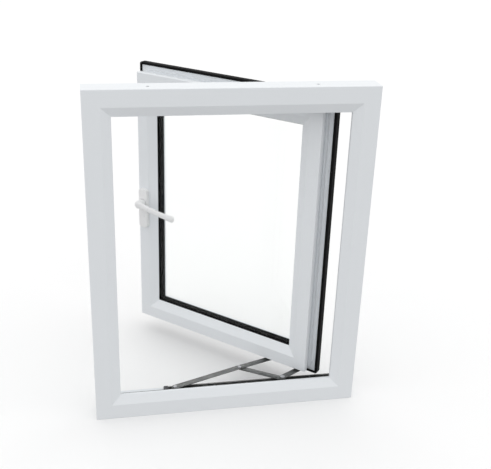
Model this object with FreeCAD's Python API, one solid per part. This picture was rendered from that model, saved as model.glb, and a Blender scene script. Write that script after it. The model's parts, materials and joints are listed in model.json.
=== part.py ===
import FreeCAD, Part
import math
import os

# Outward-opening casement window: a welded hollow-profile frame, a glazed sash side-hung on
# two four-bar stays (one on the sill, one under the head), and an edge lock worked by a lever.
#
# Frame of the part: millimetres, origin under the middle of the sill at mid frame depth,
# +X towards the hinge side, +Y to the outdoors, +Z up. The sash is built shut, then swung
# to its rest opening about the stay's pivots.

V = FreeCAD.Vector
X_AXIS = V(1, 0, 0)
Y_AXIS = V(0, 1, 0)
Z_AXIS = V(0, 0, 1)

# ---------------------------------------------------------------- overall sizes
frame_width = 700.0
frame_height = 880.0
frame_depth = 60.0

# ---------------------------------------------------------------- outer frame profile
# u runs inwards from the outer edge, d runs outdoors from the indoor face.
frame_face = 41.0            # flat indoor face
frame_bevel = 24.0           # width of the sloping band inside it
frame_bevel_drop = 10.7      # depth that the slope falls back
upstand_back = 18.5          # outdoor side of the indoor upstand
rebate_height = 44.0         # outer edge to the rebate floor
frame_wall = 2.8
frame_web = 2.4
steel_chamber_start = 14.4   # depth where the frame's steel chamber begins
steel_chamber_end = 41.0
edge_round = 1.2

# ---------------------------------------------------------------- sash profile
# u runs inwards from the sash body's edge, t runs outdoors from the sash's indoor face.
hardware_gap = 16.0          # rebate floor to sash edge, filled by the stays
sash_setback = 22.0          # frame's indoor face to the sash's indoor face
sash_depth = 60.0
sash_face = 35.0             # flat indoor face up to the glazing bead
sash_wall = 2.8
flange_reach = 15.0          # how far the outdoor flange covers the frame
flange_back = 41.5           # flange's indoor side
glass_seat = 42.0            # sash edge to the glazing rebate floor
outer_leg = 62.0             # sash edge to the top of the outdoor glazing leg
outer_leg_back = 43.0
outer_leg_lip = 5.0
outer_slope_end = 46.0
groove_centre = 24.0         # middle of the hardware groove
groove_width = 16.0
groove_depth = 3.0
groove_slot_width = 12.0
groove_slot_depth = 10.0
hardware_chamber_top = 32.2
steel_chamber_back = 34.0
steel_chamber_rear = 55.0

# ---------------------------------------------------------------- steel stiffeners
steel_wall = 1.5
steel_clearance = 0.3
steel_end_clearance = 6.0

# ---------------------------------------------------------------- glazing
bead_top = 59.5              # sash edge to the bead's sight edge
bead_drop = 15.0             # depth where the bead meets its gasket
bead_lip = 2.0
bead_gasket_height = 7.5
bead_gasket_depth = 1.6
glass_edge = 47.0            # sash edge to the glass edge
glass_thickness = 4.0
glass_cavity = 16.0
spacer_height = 8.0
spacer_edge_cover = 5.0
sealant_start = 0.6
setting_block_length = 90.0
setting_block_inset = 70.0

# ---------------------------------------------------------------- weatherseals
seal_clearance = 0.3
frame_seal_low = 57.0
frame_seal_high = 64.3
sash_seal_reach = 20.0       # sash edge to the outside of the seal, which caps the flange's tip
sash_seal_inner = 12.5
sash_seal_back = 57.0        # how far outdoors the seal goes, from the sash's indoor face
seal_round = 1.1

# ---------------------------------------------------------------- stay: linkage
# Closed, the arms lie along the track. Lengths run between pivots.
anchor_from_hinge_side = 488.6   # fixed pivot of the long arm
anchor_depth = 44.9              # from the frame's indoor face
long_arm_inner = 203.6           # anchor to the middle pivot
long_arm_outer = 108.0           # middle pivot to the sash pivot
long_arm_crank = -1.7            # bend at the middle pivot, degrees
long_arm_closed = 0.6            # angles to the track with the sash shut, degrees
pivot_arm_length = 128.4
pivot_arm_closed = -0.4
short_arm_length = 76.5
short_arm_closed = -0.9
short_pivot_from_edge = 20.4     # on the sash, from its hinge-side edge
short_pivot_depth = 25.7         # on the sash, from its indoor face
track_line_depth = 47.4          # middle of the track, from the frame's indoor face

# Each arm turns this much for each degree that the sash opens.
long_arm_ratio = 0.457
pivot_arm_ratio = 0.753
short_arm_ratio = 0.719
rest_opening = 43.3              # sash opening as modelled, degrees

# ---------------------------------------------------------------- stay: parts
track_start_margin = 18.0         # beyond the anchor, before the end cap
track_end_gap = 4.0              # to the hinge-side rebate wall
track_base = 1.2
track_wall = 1.2
track_height = 4.2
track_lip = 1.0
shoe_width = 14.0
shoe_length = 38.0
shoe_foot = 1.4
shoe_corner = 2.0
shoe_neck_width = 7.0
shoe_neck_length = 30.0
shoe_side_play = 1.35            # the shoe wanders this far across the track
arm_width = 17.5
arm_thickness = 2.0
layer_gap = 0.3
shoe_rise = 1.9                  # shoe top above its foot
pin_radius = 3.0
pin_clearance = 0.05
pin_head_radius = 5.5
pin_head = 1.2
counterbore_radius = 4.8
counterbore_depth = 1.1
countersunk_head = 0.8
countersunk_radius = 4.5
shoe_pin_radius = 2.5
shoe_pin_play = 4.5              # hole radius in the short arm
shoe_pin_head_radius = 6.3
shoe_pin_head = 0.9
collar_radius = 4.8
vent_plate_width = 18.0
vent_plate_corner = 3.0
vent_plate_start = 8.0           # from the hinge-side sash edge
vent_plate_end = 150.0
anchor_notch = 6.0               # radius cut from the track's lips round the anchor
end_cap_length = 12.0
short_end_cap = 4.0              # length of the cap at the hinge side
end_cap_height = 6.0
end_cap_round = 2.0

# ---------------------------------------------------------------- screws
screw_radius = 1.9
screw_hole = 1.95
screw_head_radius = 3.6
screw_head_hole = 3.65
screw_head = 1.2
screw_length = 16.0
track_screws_from_hinge_side = (70.0, 110.0, 290.0, 380.0, 460.0)
vent_screws_from_edge = (45.0, 75.0, 140.0)

# ---------------------------------------------------------------- frame fixings
fixing_hole = 4.0
fixing_inset = 150.0             # first fixing from the frame's corner
fixing_depth = 28.0              # from the frame's indoor face
drain_spacing = 400.0
drain_cap = (36.0, 5.0, 12.0)    # length, reach, height
drain_cap_wall = 1.5
drain_cap_round = 2.0
drain_slot = (28.0, 8.0)         # length, height
drain_height = 15.0

# ---------------------------------------------------------------- lock
handle_backset = 22.0
lock_travel = 20.0               # drive rod travel for a quarter turn
faceplate_length = 600.0
faceplate_screw_inset = 8.0
faceplate_thickness = 2.5
faceplate_width = 15.4
rod_thickness = 2.0
rod_width = 11.0
rod_length = 550.0
groove_play = 0.3
cam_spacing = 440.0
cam_shank = 3.5
cam_head = 6.0
cam_head_thickness = 2.0
cam_reach = 8.0                  # beyond the sash edge
cam_slot_play = 1.0
gearbox_height = 70.0
gearbox_thickness = 11.4
gearbox_wall = 1.5
gearbox_reach = 31.4             # from the sash edge
gearbox_start = 6.2
crank_hub = 7.4
crank_width = 8.0
crank_sweep = 16.3               # radius that the crank stays within
crank_thickness = 3.0
crank_start = 20.3
crank_pin_radius = 1.8
crank_pin_length = 4.2
lug_thickness = 2.2
lug_start = 24.4
lug_reach = 16.4
lug_half_height = 9.0
slot_play = 0.75                 # beside the crank pin, along the rod
keep_length = 62.0
keep_width = 18.0
keep_base = 1.6
keep_lip = 2.5
keep_lip_length = 22.0
keep_lip_rise = 9.5
keep_clearance = 0.5
keep_raise = 5.0                 # middle of the keep above its cam's mid travel
keep_screw_inset = 7.0

# ---------------------------------------------------------------- lever handle
lever_rest_drop = 5.0            # below level, degrees
lever_length = 135.0
lever_stand_off = 40.5           # middle of the grip, from the sash's indoor face
boss_stand_off = 30.5
boss_front = 37.5
boss_round = 3.0
neck_radius = 11.5
# Half width and half thickness of the bar along its length, as shares of the length, with
# how far it has risen from the boss to the grip.
lever_sections = (
    (0.00, 0.00, 8.5, 5.5), (0.16, 0.14, 8.2, 5.0), (0.33, 0.60, 7.8, 5.0), (0.52, 0.91, 8.0, 5.2),
    (0.78, 1.00, 8.6, 5.5), (0.93, 1.00, 8.7, 5.5), (0.985, 0.99, 6.6, 4.2), (1.00, 0.98, 3.2, 2.0))
handle_base_width = 30.0
handle_base_above = 42.0
handle_base_below = 78.0
handle_base_height = 12.0
handle_base_corner = 9.0
handle_plate = 4.0
handle_cover_round = 2.5
cover_wall = 1.8
neck_clearance = 0.4
spindle_side = 7.0
spindle_hole = 5.3
spindle_embed = 14.0             # depth of the spindle's socket in the neck
handle_screw_spacing = 43.0
handle_screw_radius = 2.4
handle_screw_hole = 2.5
handle_screw_head = 4.2
handle_screw_head_height = 2.4
handle_screw_length = 12.0
spindle_end = 29.5               # from the sash's indoor face

# ---------------------------------------------------------------- worked out from the sizes
indoor = -frame_depth / 2.0                       # Y of the frame's indoor face
outdoor = frame_depth / 2.0
sightline = frame_face + frame_bevel
sash_margin = rebate_height + hardware_gap        # frame edge to sash edge
sash_width = frame_width - 2 * sash_margin
sash_height = frame_height - 2 * sash_margin
sash_indoor = indoor + sash_setback               # Y of the shut sash's indoor face
mid_height = frame_height / 2.0
glass_start = bead_drop + bead_gasket_depth
glass_end = glass_start + 2 * glass_thickness + glass_cavity
rod_rest = -lock_travel / 2.0 + lock_travel * lever_rest_drop / 90.0
crank_radius = lock_travel / 2.0 / math.sin(math.radians(45.0))
rod_start = groove_depth + groove_play


# ---------------------------------------------------------------- geometry helpers
def point(u, d):
    """A profile point, drawn on the X = 0 plane with u up and d outdoors."""
    return V(0, d, u)


def rounded_outline(corners):
    """Closed wire through (u, d, radius) corners; a radius of 0 keeps the corner sharp."""
    edges = []
    count = len(corners)
    starts = []
    ends = []
    for i in range(count):
        u, d, radius = corners[i]
        here = point(u, d)
        before = point(*corners[i - 1][:2]) - here
        after = point(*corners[(i + 1) % count][:2]) - here
        if radius == 0:
            starts.append(here)
            ends.append(here)
            continue
        before.normalize()
        after.normalize()
        half = before.getAngle(after) / 2.0
        reach = radius / math.tan(half)
        first = here + before * reach
        last = here + after * reach
        middle = before + after
        middle.normalize()
        crown = here + middle * (radius / math.sin(half) - radius)
        starts.append(first)
        ends.append(last)
        edges.append((i, Part.Arc(first, crown, last).toShape()))
    arcs = dict(edges)
    outline = []
    for i in range(count):
        if i in arcs:
            outline.append(arcs[i])
        outline.append(Part.makeLine(ends[i], starts[(i + 1) % count]))
    return Part.Wire(outline)


def rectangle(u0, u1, d0, d1, radius=0):
    return rounded_outline([(u0, d0, radius), (u1, d0, radius), (u1, d1, radius), (u0, d1, radius)])


def hollow_face(outline, chambers):
    """A profile face with its chambers cut out of it."""
    face = Part.Face(outline)
    if chambers:
        face = face.cut([Part.Face(chamber) for chamber in chambers]).Faces[0]
    return face


def mitred_bar(outline, chambers, length, lowest=0.0):
    """A profile run along X at u = Z, cut at 45 degrees at both ends.

    length is the run at u = 0; lowest is the smallest u in the outline.
    """
    face = hollow_face(outline, chambers)
    longest = length - 2 * lowest
    bar = face.extrude(V(longest, 0, 0))
    bar.translate(V(-longest / 2.0, 0, 0))
    reach = longest / 2.0
    trim = Part.makePolygon([
        V(-reach, -500, lowest), V(reach, -500, lowest), V(0, -500, lowest + reach), V(-reach, -500, lowest)])
    keep = Part.Face(trim).extrude(V(0, 1000, 0))
    return bar.common(keep)


def rect_bars(outline, chambers, width, height, lowest=0.0):
    """The four mitred members of a rectangle centred on X = 0, its foot at Z = 0."""
    bottom = mitred_bar(outline, chambers, width, lowest)
    top = bottom.copy()
    top.rotate(V(0, 0, 0), Y_AXIS, 180)
    top.translate(V(0, 0, height))
    left = mitred_bar(outline, chambers, height, lowest)
    right = left.copy()
    left.rotate(V(0, 0, 0), Y_AXIS, 90)
    left.translate(V(-width / 2.0, 0, height / 2.0))
    right.rotate(V(0, 0, 0), Y_AXIS, -90)
    right.translate(V(width / 2.0, 0, height / 2.0))
    return {"bottom": bottom, "top": top, "left": left, "right": right}


def moved(shape, x=0.0, y=0.0, z=0.0):
    copy = shape.copy()
    copy.translate(V(x, y, z))
    return copy


def in_frame(shape):
    """From profile depth to the part's Y, for pieces measured on the outer frame."""
    return moved(shape, y=indoor)


def in_sash(shape):
    """From sash profile depth to the part's Y and Z, for pieces measured on the shut sash."""
    return moved(shape, y=sash_indoor, z=sash_margin)


def ring(width, height, u0, u1, d0, d1):
    """A rectangular hoop with a plain section, centred on X = 0 with its foot at Z = 0."""
    outer = Part.makeBox(width - 2 * u0, d1 - d0, height - 2 * u0, V(-width / 2.0 + u0, d0, u0))
    inner = Part.makeBox(width - 2 * u1, d1 - d0, height - 2 * u1, V(-width / 2.0 + u1, d0, u1))
    return outer.cut(inner)


def block(x0, x1, y0, y1, z0, z1):
    return Part.makeBox(x1 - x0, y1 - y0, z1 - z0, V(x0, y0, z0))


def upright(centre, radius, z0, z1):
    return Part.makeCylinder(radius, z1 - z0, V(centre.x, centre.y, z0), Z_AXIS)


def fused(shapes):
    whole = shapes[0].multiFuse(shapes[1:]) if len(shapes) > 1 else shapes[0]
    return whole.removeSplitter()


def group(shapes):
    return Part.makeCompound(shapes)


def flat_bar(start, end, width, z0, z1):
    """A flat strip with round ends between two points."""
    along = end - start
    along.normalize()
    side = V(-along.y, along.x, 0) * (width / 2.0)
    nose = along * (width / 2.0)
    a, b = V(start.x, start.y, z0), V(end.x, end.y, z0)
    wire = Part.Wire([
        Part.makeLine(a + side, b + side),
        Part.Arc(b + side, b + nose, b - side).toShape(),
        Part.makeLine(b - side, a - side),
        Part.Arc(a - side, a - nose, a + side).toShape()])
    return Part.Face(wire).extrude(V(0, 0, z1 - z0))


def both_stays(shape):
    """The piece of the sill stay, and its mirror image under the head."""
    upper = shape.mirror(V(0, 0, mid_height), Z_AXIS)
    return shape, upper


# ---------------------------------------------------------------- stay linkage
def direction(degrees):
    angle = math.radians(degrees)
    return V(math.cos(angle), math.sin(angle), 0)


def linkage(opening):
    """Pivot places, and the sash's hinge-side indoor corner, with the sash open by this angle."""
    long_angle = long_arm_closed + long_arm_ratio * opening
    anchor = V(frame_width / 2.0 - anchor_from_hinge_side, indoor + anchor_depth, 0)
    middle = anchor + direction(long_angle) * long_arm_inner
    sash_pivot = middle + direction(long_angle + long_arm_crank) * long_arm_outer
    shoe = middle + direction(-(pivot_arm_closed + pivot_arm_ratio * opening)) * pivot_arm_length
    return {"anchor": anchor, "middle": middle, "sash_pivot": sash_pivot, "shoe": shoe}


closed_pivots = linkage(0.0)
rest_pivots = linkage(rest_opening)
closed_corner = V(frame_width / 2.0 - sash_margin, sash_indoor, 0)
closed_short_pivot = closed_corner + V(-short_pivot_from_edge, short_pivot_depth, 0)


def swung_open(shape):
    """Move a piece of the shut sash to the rest opening."""
    start = closed_pivots["sash_pivot"]
    copy = shape.copy()
    copy.rotate(start, Z_AXIS, -rest_opening)
    copy.translate(rest_pivots["sash_pivot"] - start)
    return copy


def swung_point(place):
    start = closed_pivots["sash_pivot"]
    turn = FreeCAD.Rotation(Z_AXIS, -rest_opening)
    return rest_pivots["sash_pivot"] + turn.multVec(place - start)


rest_pivots["short_pivot"] = swung_point(closed_short_pivot)

# Heights of the stay's layers above the frame's foot, from the rebate floor up.
foot_z = rebate_height + track_base + layer_gap
shoe_top_z = foot_z + shoe_foot + shoe_rise
pivot_arm_z = shoe_top_z + layer_gap
long_arm_z = pivot_arm_z + arm_thickness + layer_gap
short_arm_z = long_arm_z + arm_thickness + layer_gap
shoe_head_z = short_arm_z + arm_thickness + layer_gap
vent_plate_z = shoe_head_z + shoe_pin_head + layer_gap


# ---------------------------------------------------------------- outer frame
def frame_outline():
    return rounded_outline([
        (0, 0, edge_round), (frame_face, 0, 0), (sightline, frame_bevel_drop, edge_round),
        (sightline, upstand_back, edge_round), (rebate_height, upstand_back, 0),
        (rebate_height, frame_depth, edge_round), (0, frame_depth, edge_round)])


def frame_chambers():
    top = rebate_height - frame_wall
    upstand_foot = rebate_height
    upstand_top = sightline - 3 * frame_wall
    slope = frame_bevel_drop / frame_bevel
    rise = frame_wall * 1.1
    upstand = rounded_outline([
        (upstand_foot, (upstand_foot - frame_face) * slope + rise, 0),
        (upstand_top, (upstand_top - frame_face) * slope + rise, 0),
        (upstand_top, upstand_back - frame_wall, 0),
        (upstand_foot, upstand_back - frame_wall, 0)])
    return [
        rectangle(frame_wall, top, frame_wall, steel_chamber_start - frame_web),
        rectangle(frame_wall, top, steel_chamber_start, steel_chamber_end),
        rectangle(frame_wall, top, steel_chamber_end + frame_web, frame_depth - frame_wall),
        upstand]


def fixing_holes():
    """Holes for the wall fixings: two through each jamb, two through the head."""
    y = indoor + fixing_depth
    holes = []
    for z in (fixing_inset, frame_height - fixing_inset):
        holes.append(Part.makeCylinder(fixing_hole, frame_width + 2, V(-frame_width / 2.0 - 1, y, z), X_AXIS))
    for x in (-frame_width / 2.0 + fixing_inset, frame_width / 2.0 - fixing_inset):
        holes.append(upright(V(x, y, 0), fixing_hole, frame_height - sightline, frame_height + 1))
    return group(holes)


def track_screw_places():
    return [V(frame_width / 2.0 - x, indoor + track_line_depth, 0) for x in track_screws_from_hinge_side]


def keep_screw_places():
    y = sash_indoor + groove_centre
    places = []
    for side in (-1, 1):
        for end in (-1, 1):
            middle = mid_height + side * cam_spacing / 2.0 + keep_raise
            z = middle + end * (keep_length / 2.0 - keep_screw_inset)
            places.append(V(-frame_width / 2.0 + rebate_height, y, z))
    return places


def frame_members():
    bars = rect_bars(frame_outline(), frame_chambers(), frame_width, frame_height)
    bars = {side: in_frame(bar) for side, bar in bars.items()}
    holes = fixing_holes()
    wall_low = rebate_height - frame_wall - 1
    for place in track_screw_places():
        lower, upper = both_stays(upright(place, screw_hole, wall_low, rebate_height + 1))
        bars["bottom"] = bars["bottom"].cut(lower)
        bars["top"] = bars["top"].cut(upper)
    for place in keep_screw_places():
        hole = Part.makeCylinder(screw_hole, frame_wall + 2, place - V(frame_wall + 1, 0, 0), X_AXIS)
        bars["left"] = bars["left"].cut(hole)
    for slot in drain_slots():
        bars["bottom"] = bars["bottom"].cut(slot)
    for side in ("left", "right", "top"):
        bars[side] = bars[side].cut(holes)
    return bars


def drain_slots():
    length, height = drain_slot
    slots = []
    for x in (-drain_spacing / 2.0, drain_spacing / 2.0):
        slots.append(block(x - length / 2.0, x + length / 2.0, outdoor - frame_wall - 1, outdoor + 1,
                           drain_height - height / 2.0, drain_height + height / 2.0))
    return slots


def drain_caps():
    """Hooded covers over the drain slots on the outdoor side of the sill."""
    length, depth, height = drain_cap
    caps = []
    for x in (-drain_spacing / 2.0, drain_spacing / 2.0):
        low = drain_height - height / 2.0
        body = block(x - length / 2.0, x + length / 2.0, outdoor, outdoor + depth, low, low + height)
        outer_edges = [e for e in body.Edges if on_plane(e, Y_AXIS, outdoor + depth)]
        body = body.makeFillet(drain_cap_round, outer_edges)
        wall = drain_cap_wall
        mouth = block(x - length / 2.0 + wall, x + length / 2.0 - wall, outdoor, outdoor + depth - wall,
                      low - 1, low + height - wall)
        caps.append(body.cut(mouth))
    return group(caps)


def on_plane(edge, normal, value):
    return all(abs(vertex.Point.dot(normal) - value) < 1e-6 for vertex in edge.Vertexes)


def steel_bars(width, height, u0, u1, d0, d1):
    """Square steel tubes for the four members, stopped short of the mitres."""
    c = steel_clearance
    outer = rectangle(u0 + c, u1 - c, d0 + c, d1 - c)
    inner = rectangle(u0 + c + steel_wall, u1 - c - steel_wall, d0 + c + steel_wall, d1 - c - steel_wall)
    tubes = []
    for length, turn, x, z in ((width, 0, 0, 0), (width, 180, 0, height),
                               (height, 90, -width / 2.0, height / 2.0),
                               (height, -90, width / 2.0, height / 2.0)):
        run = length - 2 * (u1 + steel_end_clearance)
        tube = hollow_face(outer, [inner]).extrude(V(run, 0, 0))
        tube.translate(V(-run / 2.0, 0, 0))
        tube.rotate(V(0, 0, 0), Y_AXIS, turn)
        tube.translate(V(x, 0, z))
        tubes.append(tube)
    return tubes


def frame_steel():
    tubes = steel_bars(frame_width, frame_height, frame_wall, rebate_height - frame_wall,
                       steel_chamber_start, steel_chamber_end)
    holes = fixing_holes()
    return group([in_frame(tube).cut(holes) for tube in tubes])


def sash_steel():
    tubes = steel_bars(sash_width, sash_height, sash_wall, glass_seat - sash_wall,
                       steel_chamber_back, steel_chamber_rear)
    return group([in_sash(tube) for tube in tubes])


def frame_seal():
    """Bulb seal on the back of the upstand, which the shut sash's indoor face presses."""
    outline = rounded_outline([
        (frame_seal_low, upstand_back, 0), (frame_seal_high, upstand_back, 0),
        (frame_seal_high, sash_setback - seal_clearance, seal_round),
        (frame_seal_low, sash_setback - seal_clearance, seal_round)])
    bars = rect_bars(outline, [], frame_width, frame_height)
    return in_frame(fused(list(bars.values())))


# ---------------------------------------------------------------- sash
def sash_outline():
    half = groove_width / 2.0
    slot = groove_slot_width / 2.0
    return rounded_outline([
        (0, 0, edge_round * 2), (sash_face, 0, 0), (sash_face, bead_drop, 0),
        (glass_seat, bead_drop, 0), (glass_seat, outer_leg_back, 0),
        (outer_leg, outer_leg_back, edge_round), (outer_leg, outer_leg_back + outer_leg_lip, edge_round),
        (outer_slope_end, sash_depth, 0), (-flange_reach, sash_depth, 2 * edge_round),
        (-flange_reach, flange_back, 0), (0, flange_back, 0),
        (0, groove_centre + half, 0), (groove_depth, groove_centre + half, 0),
        (groove_depth, groove_centre + slot, 0), (groove_slot_depth, groove_centre + slot, 0),
        (groove_slot_depth, groove_centre - slot, 0), (groove_depth, groove_centre - slot, 0),
        (groove_depth, groove_centre - half, 0), (0, groove_centre - half, 0)])


def sash_chambers():
    chamber_low = groove_slot_depth + sash_wall
    return [
        rectangle(chamber_low, hardware_chamber_top, sash_wall, steel_chamber_back - sash_wall),
        rectangle(sash_wall, glass_seat - sash_wall, steel_chamber_back, steel_chamber_rear),
        rectangle(sash_wall, groove_slot_depth, sash_wall, groove_centre - groove_width / 2.0 - sash_wall),
        rectangle(-flange_reach + sash_wall, 0, flange_back + sash_wall, sash_depth - sash_wall)]


def shut_sash_members():
    bars = rect_bars(sash_outline(), sash_chambers(), sash_width, sash_height, -flange_reach)
    bars = {side: in_sash(bar) for side, bar in bars.items()}
    bars["left"] = bars["left"].cut(lock_pocket())
    for place in vent_screw_places():
        lower, upper = both_stays(upright(place, screw_hole, sash_margin - 1,
                                          sash_margin + groove_slot_depth + sash_wall + 1))
        bars["bottom"] = bars["bottom"].cut(lower)
        bars["top"] = bars["top"].cut(upper)
    for place, length in faceplate_screw_places():
        hole = Part.makeCylinder(screw_hole, length + 1, place, X_AXIS)
        bars["left"] = bars["left"].cut(hole)
    return bars


def lock_pocket():
    """Openings in the handle stile: the gearbox slot, the spindle hole and the screw holes."""
    half = groove_slot_width / 2.0
    tall = gearbox_height / 2.0 + 1
    slot = edge_block(groove_slot_depth - 1, groove_slot_depth + sash_wall + 1,
                      groove_centre - half, groove_centre + half, mid_height - tall, mid_height + tall)
    cuts = [slot, along_spindle(spindle_hole, -1, sash_wall + 1)]
    for dz in (-handle_screw_spacing / 2.0, handle_screw_spacing / 2.0):
        cuts.append(along_spindle(handle_screw_hole, -1, sash_wall + 1, dz=dz))
    return group(cuts)


def sash_seal():
    """Black seal that caps the tip of the flange and presses the frame's outdoor face."""
    front = frame_depth - sash_setback + seal_clearance
    outline = rounded_outline([
        (-sash_seal_reach, front, 2 * seal_round), (-sash_seal_inner, front, seal_round),
        (-sash_seal_inner, flange_back, 0), (-flange_reach, flange_back, 0),
        (-flange_reach, sash_seal_back, 0), (-sash_seal_reach, sash_seal_back, 2 * seal_round)])
    bars = rect_bars(outline, [], sash_width, sash_height, -sash_seal_reach)
    return in_sash(fused(list(bars.values())))


def glazing_beads():
    """Snap-in bevelled beads that hold the glass from indoors."""
    outline = rounded_outline([
        (sash_face, 0, 0), (bead_top, bead_drop - bead_lip, edge_round / 2), (bead_top, bead_drop, 0),
        (sash_face, bead_drop, 0)])
    bars = rect_bars(outline, [], sash_width, sash_height)
    return {side: in_sash(bar) for side, bar in bars.items()}


# ---------------------------------------------------------------- glazing unit
def pane(front):
    edge = glass_edge
    box = Part.makeBox(sash_width - 2 * edge, glass_thickness, sash_height - 2 * edge,
                       V(-sash_width / 2.0 + edge, front, edge))
    return in_sash(box)


def glazing_rings():
    """Everything that runs round the glass: gaskets, spacer and edge sealant."""
    cavity_start = glass_start + glass_thickness
    cavity_end = cavity_start + glass_cavity
    spacer_low = glass_edge + spacer_edge_cover
    spacer_high = spacer_low + spacer_height
    bead_gasket = ring(sash_width, sash_height, spacer_high - bead_gasket_height, spacer_high,
                       bead_drop, glass_start)
    outer_gasket = ring(sash_width, sash_height, outer_leg - bead_gasket_height - 0.5, outer_leg - 0.5,
                        glass_end, outer_leg_back)
    spacer = ring(sash_width, sash_height, spacer_low, spacer_high, cavity_start, cavity_end)
    sealant = ring(sash_width, sash_height, glass_edge + sealant_start, spacer_low, cavity_start, cavity_end)
    return {"bead_gasket": in_sash(bead_gasket), "outer_glazing_gasket": in_sash(outer_gasket),
            "spacer_bar": in_sash(spacer), "edge_sealant": in_sash(sealant)}


def setting_blocks():
    """Packers that carry the glass on the sash's bottom rail and centre it in the stiles."""
    half = sash_width / 2.0
    inset = glass_edge + setting_block_inset
    run = setting_block_length
    blocks = []
    for side in (-1, 1):
        start = side * (half - inset - run / 2.0) - run / 2.0
        blocks.append(block(start, start + run, glass_start, glass_end, glass_seat, glass_edge))
        low, high = sorted((side * (half - glass_seat), side * (half - glass_edge)))
        z = sash_height - inset - run
        blocks.append(block(low, high, glass_start, glass_end, z, z + run))
    return group([in_sash(one) for one in blocks])


# ---------------------------------------------------------------- stays
def track():
    """Open-topped channel for the shoe, with lips that hold the shoe down."""
    inner = shoe_width / 2.0 + shoe_side_play
    outer = inner + track_wall
    lip = shoe_neck_width / 2.0 + shoe_side_play
    low = rebate_height
    floor = low + track_base
    top = low + track_height
    under = top - track_lip
    half_section = [(low, outer), (top, outer), (top, lip), (under, lip), (under, inner), (floor, inner)]
    corners = [(u, -d, 0) for u, d in half_section] + [(u, d, 0) for u, d in reversed(half_section)]
    outline = rounded_outline(corners)
    start, end = track_run()
    channel = Part.Face(outline).extrude(V(end - start, 0, 0))
    channel.translate(V(start, indoor + track_line_depth, 0))
    cuts = [upright(rest_pivots["anchor"], anchor_notch, floor, top + 1)]
    for place in track_screw_places():
        cuts.append(upright(place, screw_head_hole, low - 1, top + 1))
    return channel.cut(group(cuts))


def track_run():
    start = rest_pivots["anchor"].x - track_start_margin
    end = frame_width / 2.0 - rebate_height - track_end_gap - short_end_cap
    return start, end


def track_caps():
    """Plastic ends of the track; the one away from the hinges is the longer."""
    start, end = track_run()
    half = shoe_width / 2.0 + shoe_side_play + track_wall
    y = indoor + track_line_depth
    low = rebate_height
    long_cap = block(start - end_cap_length, start, y - half, y + half, low, low + end_cap_height)
    tips = [e for e in long_cap.Edges if on_plane(e, X_AXIS, start - end_cap_length)]
    long_cap = long_cap.makeFillet(end_cap_round, tips)
    short_cap = block(end, end + short_end_cap, y - half, y + half, low, low + track_height)
    return group([long_cap, short_cap])


def screw(place, way, length, head_radius=screw_head_radius, head=screw_head, radius=screw_radius):
    """Flat-headed screw whose head starts at place and whose shank runs along way."""
    cap = Part.makeCylinder(head_radius, head, place, way)
    shank = Part.makeCylinder(radius, length - head, place + way * head, way)
    return fused([cap, shank])


def track_screws():
    lift = V(0, 0, rebate_height + track_base)
    return group([screw(place + lift, V(0, 0, -1), screw_length) for place in track_screw_places()])


def anchor_rivet():
    """Stepped post on the track that the long arm turns on."""
    place = rest_pivots["anchor"]
    seat = long_arm_z - layer_gap
    head = long_arm_z + arm_thickness + layer_gap
    return fused([
        upright(place, collar_radius, rebate_height + track_base, seat),
        upright(place, pin_radius, seat, head),
        upright(place, pin_head_radius, head, head + pin_head)])


def long_arm():
    """Flat arm from the anchor through the middle pivot to the sash."""
    a, c, b = rest_pivots["anchor"], rest_pivots["middle"], rest_pivots["sash_pivot"]
    z0, z1 = long_arm_z, long_arm_z + arm_thickness
    arm = fused([flat_bar(a, c, arm_width, z0, z1), flat_bar(c, b, arm_width, z0, z1)])
    return arm.cut(group([
        upright(a, pin_radius + pin_clearance, z0 - 1, z1 + 1),
        upright(c, pin_radius, z0 - 1, z1 + 1),
        upright(b, pin_radius + pin_clearance, z0 - 1, z1 + 1),
        upright(b, counterbore_radius, z0 - 1, z0 + counterbore_depth)]))


def middle_rivet():
    """Rivet in the long arm; its lower head lies in the pivot arm's counterbore."""
    place = rest_pivots["middle"]
    z0 = pivot_arm_z
    top = long_arm_z + arm_thickness
    return fused([
        upright(place, countersunk_radius, z0, z0 + countersunk_head),
        upright(place, pin_radius, z0 + countersunk_head, top),
        upright(place, pin_head_radius, top, top + pin_head)])


def pivot_arm():
    """Flat arm from the middle pivot to the shoe."""
    c, s = rest_pivots["middle"], rest_pivots["shoe"]
    z0, z1 = pivot_arm_z, pivot_arm_z + arm_thickness
    arm = flat_bar(c, s, arm_width, z0, z1)
    return arm.cut(group([
        upright(c, pin_radius + pin_clearance, z0 - 1, z1 + 1),
        upright(c, counterbore_radius, z0 - 1, z0 + counterbore_depth),
        upright(s, shoe_pin_radius + pin_clearance, z0 - 1, z1 + 1)]))


def shoe():
    """Slider: a foot under the track's lips and a narrower neck between them."""
    place = rest_pivots["shoe"]
    half, across = shoe_length / 2.0, shoe_width / 2.0
    foot = block(-half, half, -across, across, foot_z, foot_z + shoe_foot)
    corners = [e for e in foot.Edges if abs(e.Length - shoe_foot) < 1e-6]
    foot = foot.makeFillet(shoe_corner, corners)
    half, across = shoe_neck_length / 2.0, shoe_neck_width / 2.0
    neck = block(-half, half, -across, across, foot_z + shoe_foot, shoe_top_z)
    return moved(fused([foot, neck]), place.x, place.y)


def shoe_rivet():
    """Rivet on the shoe: pivot arm below its collar, short arm between collar and head."""
    place = rest_pivots["shoe"]
    return fused([
        upright(place, shoe_pin_radius, shoe_top_z, shoe_head_z),
        upright(place, collar_radius, long_arm_z, long_arm_z + arm_thickness),
        upright(place, shoe_pin_head_radius, shoe_head_z, shoe_head_z + shoe_pin_head)])


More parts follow.
